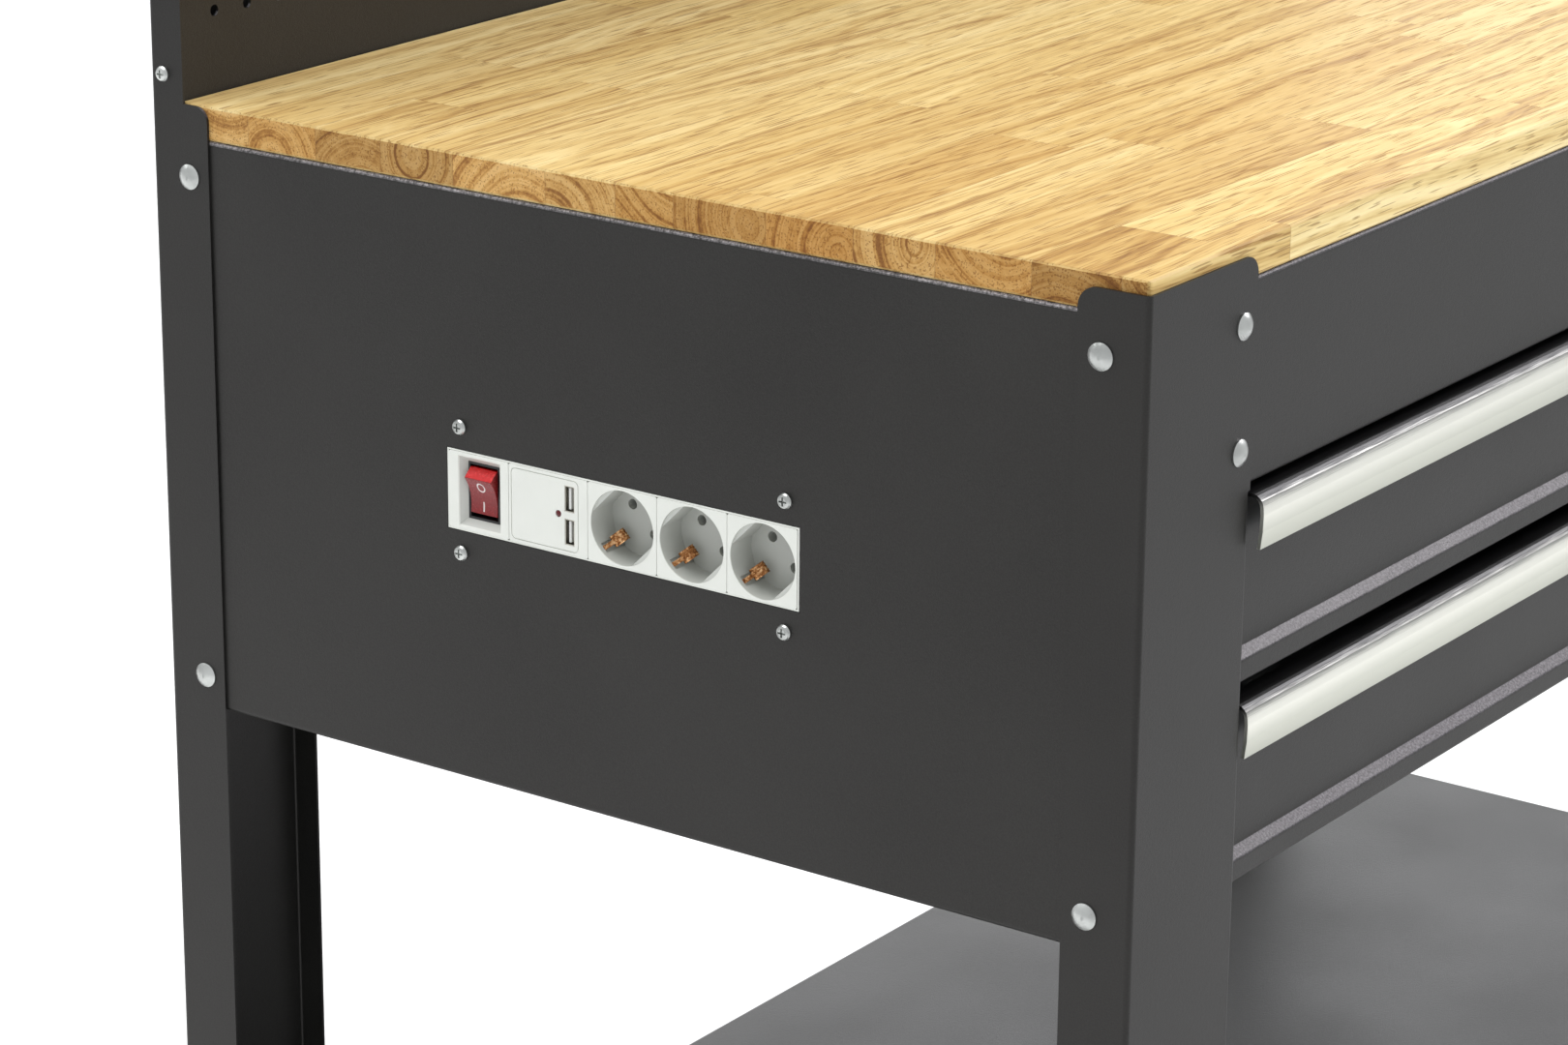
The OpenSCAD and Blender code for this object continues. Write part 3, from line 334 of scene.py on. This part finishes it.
def satin_aluminium(name):
    """Drawn grip profiles: fine lines along them. Painted highlight and shade by height: brightest two thirds
    up, painted shade at the top, and the inside painted near-black and not metal as shade.
    """
    painted_light_tones = [(0.0, (0.56, 0.57, 0.50)), (0.35, (0.70, 0.71, 0.63)), (0.62, (0.92, 0.92, 0.84)),
             (0.78, (0.86, 0.86, 0.79)), (0.86, (0.36, 0.36, 0.34)), (0.93, (0.06, 0.06, 0.06))]
    painted_shade_inside = (0.012, 0.012, 0.012)
    m = Material(name, (0.8, 0.8, 0.75), 0.38, metallic=1.0)
    _, back, up = m.parts(m.node("ShaderNodeTexCoord").outputs["Generated"])
    lines = m.noise(2400, 3, (0.02, 1, 1))
    # Painted highlight and shade: tone set by height, not by the light
    tone = m.ramp(m.math("ADD", up, m.centred(lines, 0.12)), painted_light_tones)
    # Painted shade: the inside of the profile is made dark and not metal
    inside = m.math("MULTIPLY", m.math("GREATER_THAN", back, 0.20), m.math("LESS_THAN", up, 0.88))
    m.join("Base Color", m.mix(inside, tone, painted_shade_inside))
    m.join("Metallic", m.math("SUBTRACT", 1.0, inside))
    m.join("Roughness", m.range(lines, 0.3, 0.7, 0.32, 0.46))
    m.bump((lines, 0.012 * MM))
    return m.material


# The USB ports: where their contact carriers lie in their shells
PORT_LOW, PORT_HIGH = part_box("usb_ports")
CARRIER_Y = (PORT_LOW.y + PORT_HIGH.y) / 2 + 0.5 * MM
CARRIER_HALF_T = 0.9 * MM
CARRIER_HALF_H = 5.9 * MM
CARRIER_IN = 0.6 * MM
PORT_HALF_PITCH = 8.6 * MM


def port_steel(name):
    """Tinned shells; the contact carrier inside each is white plastic."""
    m = Material(name, (0.62, 0.60, 0.53), 0.30)
    x, y, z = m.parts(m.place)
    off = m.math("ABSOLUTE", m.math("SUBTRACT", y, CARRIER_Y))
    height = m.math("ABSOLUTE", m.math("SUBTRACT", z, STRIP.z))
    rise = m.math("ABSOLUTE", m.math("SUBTRACT", height, PORT_HALF_PITCH))
    inside = m.math("MULTIPLY", m.math("LESS_THAN", off, CARRIER_HALF_T),
                    m.math("LESS_THAN", rise, CARRIER_HALF_H))
    carrier = m.math("MULTIPLY", inside, m.math("LESS_THAN", x, PORT_HIGH.x - CARRIER_IN))
    grain = m.noise(1500, 2)
    color = m.mix(carrier, (0.60, 0.58, 0.51), (0.80, 0.81, 0.78))
    m.join("Base Color", m.shaded(color, m.range(grain, 0.3, 0.7, 0.88, 1.0)))
    m.join("Metallic", m.math("SUBTRACT", 1.0, carrier))
    m.join("Roughness", m.range(grain, 0.3, 0.7, 0.26, 0.36))
    m.bump((grain, 0.01 * MM))
    return m.material


def rocker_red(name):
    """Clear red plastic, milky where it faces the room. Faces that look upwards are painted a deeper,
    brighter red, as painted light falling through its top.
    """
    m = Material(name, (0.3, 0.006, 0.008), 0.24)
    # Painted light: the more a face looks upwards, the brighter its red
    top = m.range(m.parts(m.normal)[2], 0.2, 0.8, 0.0, 1.0)
    grain = m.noise(700, 2)
    color = m.mix(top, (0.235, 0.010, 0.012), (0.66, 0.004, 0.006))
    m.join("Base Color", m.shaded(color, m.range(grain, 0.3, 0.7, 0.86, 1.12)))
    m.join("Roughness", m.range(grain, 0.3, 0.7, 0.20, 0.30))
    m.bump((grain, 0.008 * MM))
    return m.material


def tarnished_copper(name):
    """Copper strip with dark and bright spots."""
    m = Material(name, (0.5, 0.22, 0.08), 0.3, metallic=1.0)
    spots = m.noise(650, 3, rough=0.7)
    m.join("Base Color", m.ramp(spots, [(0.34, (0.13, 0.045, 0.016)), (0.50, (0.38, 0.16, 0.055)),
                                        (0.64, (0.80, 0.50, 0.26))]))
    m.join("Roughness", m.range(spots, 0.3, 0.7, 0.42, 0.20))
    m.bump((spots, 0.06 * MM))
    return m.material


def moulded_white(name):
    """Moulded plastic with painted shade: a little greyer the deeper a recess goes."""
    m = Material(name, (0.80, 0.82, 0.77), 0.34)
    depth = m.math("SUBTRACT", m.parts(m.place)[0], PORT_LOW.x)
    # Painted shade: darker the deeper into a recess, as where less light reaches
    tone = m.math("MULTIPLY", m.range(depth, 0.15 * MM, 0.5 * MM, 1.0, 0.74),
                  m.range(depth, 1.0 * MM, 13 * MM, 1.0, 0.86))
    grain = m.noise(900, 2)
    cloud = m.noise(45, 2)
    tone = m.math("MULTIPLY", tone, m.range(cloud, 0.3, 0.7, 0.98, 1.02))
    m.join("Base Color", m.shaded((0.81, 0.83, 0.775), tone))
    m.join("Roughness", m.range(grain, 0.3, 0.7, 0.30, 0.42))
    m.bump((grain, 0.02 * MM))
    return m.material


PORT_STEEL = port_steel("usb_shell")
MARK = plastic("pale_mark", (0.78, 0.70, 0.68), 0.5, 0.04, 0.01 * MM)
RED = rocker_red("red_rocker")
COPPER = tarnished_copper("copper_strip")
ZINC = metal("bright_zinc", (0.66, 0.68, 0.66), 0.30, (1, 1, 1), 420, 0.10 * MM, 0.42)
RUNNER_ZINC = metal("runner_zinc", (0.66, 0.69, 0.72), 0.34, (1, 0.05, 1), 1200, 0.01 * MM, 0.12)
FINISHES = {
    "charcoal_coat": powder_coat("charcoal_coat"),
    "rubberwood": rubberwood("rubberwood"),
    "aluminium": satin_aluminium("satin_aluminium"),
    "zinc_steel": ZINC,
    "white_plastic": moulded_white("white_plastic"),
    "black_plastic": plastic("black_plastic", (0.010, 0.010, 0.011), 0.4, 0.15, 0.02 * MM),
    "red_plastic": RED,
    "red_lens": plastic("red_lens", (0.10, 0.003, 0.005), 0.14, 0.1, 0.002 * MM),
    "copper": COPPER,
}
for part in frame["record"]["subparts"]:
    name = part["node"]
    finish = FINISHES[part["material_slot"]]
    if name == "usb_ports":
        finish = PORT_STEEL
    elif name.startswith("runner_") and "plate" not in name:
        finish = RUNNER_ZINC
    NODES[name].data.materials.clear()
    NODES[name].data.materials.append(finish)


def soften(thing, width, angle, segments):
    """Rounds sharp edges a little, as moulded plastic has them."""
    bevel = thing.modifiers.new("soft_edges", "BEVEL")
    bevel.width, bevel.segments, bevel.limit_method = width, segments, "ANGLE"
    bevel.angle_limit = math.radians(angle)
    bevel.harden_normals = True


def add_piece(name, bm, material, body, replaces=()):
    mesh = bpy.data.meshes.new(name)
    bmesh.ops.recalc_face_normals(bm, faces=bm.faces)
    bm.to_mesh(mesh)
    bm.free()
    piece = bpy.data.objects.new(name, mesh)
    bpy.context.scene.collection.objects.link(piece)
    mesh.materials.append(material)
    mesh.shade_smooth()
    mesh.set_sharp_from_angle(angle=math.radians(35))
    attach(piece, body)
    if replaces:
        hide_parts(*replaces)
    return piece


def strip_between(bm, one, two):
    """Faces between two closed loops of vertices."""
    for i in range(len(one)):
        j = (i + 1) % len(one)
        bm.faces.new((one[i], one[j], two[j], two[i]))


def ribbon(bm, rows):
    """Closed skin over rows of points, each row a closed loop of the same length, with both ends capped."""
    loops = [[bm.verts.new(point) for point in row] for row in rows]
    for one, two in zip(loops, loops[1:]):
        strip_between(bm, one, two)
    bm.faces.new(loops[0])
    bm.faces.new(loops[-1])


for node in ("switch_frame", "usb_module", *SOCKETS):
    soften(NODES[node], 0.4 * MM, 50, 2)

# The rocker. In its own frame, in mm, u is depth into the panel, v is along the bench's side and w is height,
# all from the pivot
BODY_LOW, BODY_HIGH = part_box("switch_body")
PIVOT_IN = 4
PIVOT = Vector((BODY_LOW.x + PIVOT_IN * MM, (BODY_LOW.y + BODY_HIGH.y) / 2, (BODY_LOW.z + BODY_HIGH.z) / 2))
ROCKER_TILT = math.radians(14)
ROCKER_HALF_W = 8.5
FACE_HALF_H = 10
FACE_OUT = 5.1
FACE_HOLLOW = 0.021


def rocker_point(u, v, w):
    x = u * math.cos(ROCKER_TILT) - w * math.sin(ROCKER_TILT)
    z = u * math.sin(ROCKER_TILT) + w * math.cos(ROCKER_TILT)
    return PIVOT + Vector((x, v, z)) * MM


def rocker_face(w):
    """Depth of the hollow face at a height."""
    return -FACE_OUT - FACE_HOLLOW * w * w


profile = [(rocker_face(w), w) for w in range(FACE_HALF_H, -FACE_HALF_H - 1, -1)]
profile += [(-4.2, -11.7), (-1, -13.2), (4, -11), (4, 11), (-1, 13.2), (-4.2, 11.7)]
bm = bmesh.new()
ribbon(bm, [[rocker_point(u, v, w) for u, w in profile] for v in (-ROCKER_HALF_W, ROCKER_HALF_W)])
rocker = add_piece("rocker_cap", bm, RED, "switch_rocker", ("rocker",))
soften(rocker, 0.35 * MM, 35, 3)

# Its generic O and I marks, which stand a little proud of the face
MARK_RAISE = 0.07
MARK_SUNK = 0.1
RING_IN, RING_OUT, RING_W, RING_TURNS = 2.1, 2.9, 4.7, 48
RING_SQUEEZE = 0.88
BAR_TOP, BAR_H, BAR_HALF_T, BAR_STEPS = -3.6, 5.0, 0.42, 6


def mark_point(v, w, raised):
    return rocker_point(rocker_face(w) - (MARK_RAISE if raised else -MARK_SUNK), v, w)


bm = bmesh.new()
ring = []
for i in range(RING_TURNS):
    turn = 2 * math.pi * i / RING_TURNS
    section = [mark_point(RING_SQUEEZE * r * math.cos(turn), RING_W + r * math.sin(turn), raised)
               for r, raised in ((RING_IN, False), (RING_IN, True), (RING_OUT, True), (RING_OUT, False))]
    ring.append([bm.verts.new(point) for point in section])
for one, two in zip(ring, ring[1:] + ring[:1]):
    strip_between(bm, one, two)
edges = ((-BAR_HALF_T, False), (-BAR_HALF_T, True), (BAR_HALF_T, True), (BAR_HALF_T, False))
ribbon(bm, [[mark_point(v, BAR_TOP - BAR_H * i / BAR_STEPS, raised) for v, raised in edges]
            for i in range(BAR_STEPS + 1)])
add_piece("rocker_marks", bm, MARK, "switch_rocker")

# The earth contacts: a narrow tongue in its slot, then a wide ribbed spring that leans into the recess.
# Both are lists of (depth, distance from the recess's wall), in mm
SOCKET_R = 19.3
SOCKET_HALF_PITCH = 21.25
FRONT_SHIFT = 0.15
TONGUE = [(3.3, 0.45), (4.5, -0.2), (5.8, -1.2), (7.0, -2.6), (8.2, -4.0)]
TONGUE_HALF_W, TONGUE_T = 1.2, 0.5
SPRING = [(7.8, -3.5), (9.0, -5.0), (10.2, -6.6), (11.4, -8.0), (12.4, -9.0), (13.2, -9.3)]
SPRING_HALF_W, SPRING_T = 3.1, 0.7
RIBS, RIB_STEPS, RIB_H = 4, 24, 0.22
CLIP_ANGLES = (45, 225)


def rib(k):
    """A point across the spring: how far a rib stands out, and how far to the side it is."""
    share = k / RIB_STEPS
    return -RIB_H * math.cos(2 * math.pi * RIBS * share), SPRING_HALF_W * (2 * share - 1)


def earth_clip(bm, middle, angle):
    turn = math.radians(angle)
    out = Vector((0, math.sin(turn), -math.cos(turn)))
    side = Vector((0, math.cos(turn), math.sin(turn)))

    def spot(depth, r, s):
        return middle + (Vector((depth, 0, 0)) + out * (SOCKET_R + r) + side * s) * MM

    flat = ((0, -TONGUE_HALF_W), (0, TONGUE_HALF_W), (TONGUE_T, TONGUE_HALF_W), (TONGUE_T, -TONGUE_HALF_W))
    ribbon(bm, [[spot(depth, r + thick, s) for thick, s in flat] for depth, r in TONGUE])
    ribs = [rib(k) for k in range(RIB_STEPS + 1)]
    section = ribs + [(SPRING_T, s) for _, s in reversed(ribs)]
    ribbon(bm, [[spot(depth, r + thick, s) for thick, s in section] for depth, r in SPRING])


bm = bmesh.new()
for node in SOCKETS:
    low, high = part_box(node)
    middle = Vector((low.x, (low.y + high.y) / 2, STRIP.z))
    if node == "socket_front":
        middle.y = high.y + (FRONT_SHIFT - SOCKET_HALF_PITCH) * MM
    for angle in CLIP_ANGLES:
        earth_clip(bm, middle, angle)
add_piece("earth_springs", bm, COPPER, "bench", ("earth_clips",))

# The stage: a pale floor, soft lights and the camera
FLOOR_RADIUS = 26
pale_floor = Material("pale_floor", (0.93, 0.93, 0.93), 0.75, specular=0.2)
pale_floor.join("Roughness", pale_floor.range(pale_floor.noise(3, 3), 0.3, 0.7, 0.7, 0.8))
bpy.ops.mesh.primitive_circle_add(vertices=96, radius=FLOOR_RADIUS, fill_type="NGON", location=(0, 0, 0))
floor = bpy.context.object
floor.name = "floor"
floor.data.materials.append(pale_floor.material)
floor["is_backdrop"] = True

world = bpy.data.worlds.new("studio")
bpy.context.scene.world = world
world.use_nodes = True
world.node_tree.nodes["Background"].inputs["Color"].default_value = (0.975, 0.985, 1.0, 1.0)
world.node_tree.nodes["Background"].inputs["Strength"].default_value = 0.76

# Name, place, what it aims at, its two sides, power in watts, colour and spread in degrees
LIGHTS = (
    ("overhead", (-0.4, 0.7, 2.8), (-0.1, 0, 0.7), (2.2, 1.6), 52, (1, 1, 1), 180),
    ("right_key", (3.225, -1.775, 3.26), (-0.3, -0.2, 0.68), (1.65, 1.65), 9.5, (0.98, 0.96, 1.0), 50),
    ("back_right", (2.9, 2.1, 1.45), (0, 0, 0.5), (3.0, 1.9), 34, (0.96, 0.97, 1.0), 180),
    ("floor_wash", (0.5, 4.6, 3.2), (0.5, 4.8, 0), (6.0, 2.0), 90, (1, 1, 1), 180),
)
for name, place, aim, size, power, color, spread in LIGHTS:
    light = bpy.data.lights.new(name, "AREA")
    light.shape, light.size, light.size_y = "RECTANGLE", size[0], size[1]
    light.energy, light.color, light.spread = power, color, math.radians(spread)
    holder = bpy.data.objects.new(name, light)
    bpy.context.scene.collection.objects.link(holder)
    holder.location = place
    holder.rotation_euler = (Vector(aim) - Vector(place)).to_track_quat("-Z", "Y").to_euler()

CAMERA_AT = (-2.3025, -1.3277, 1.3946)
CAMERA_AZIMUTH, CAMERA_DIP, CAMERA_ROLL = (math.radians(a) for a in (35.452, 18.206, -0.4375))
SENSOR_MM, LENS_MM = 36, 107.22
camera = bpy.data.objects.new("camera", bpy.data.cameras.new("camera"))
camera.data.sensor_width, camera.data.lens = SENSOR_MM, LENS_MM
camera.data.clip_start, camera.data.clip_end = 0.05, 80
bpy.context.scene.collection.objects.link(camera)
level = Vector((math.cos(CAMERA_AZIMUTH), math.sin(CAMERA_AZIMUTH), 0))
ahead = math.cos(CAMERA_DIP) * level - math.sin(CAMERA_DIP) * Vector((0, 0, 1))
across = ahead.cross(Vector((0, 0, 1))).normalized()
down = ahead.cross(across)
right = math.cos(CAMERA_ROLL) * across + math.sin(CAMERA_ROLL) * down
below = math.cos(CAMERA_ROLL) * down - math.sin(CAMERA_ROLL) * across
camera.matrix_world = Matrix.Translation(CAMERA_AT) @ Matrix((right, -below, -ahead)).transposed().to_4x4()
bpy.context.scene.camera = camera
bpy.context.scene.view_settings.view_transform = "Standard"

low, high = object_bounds()
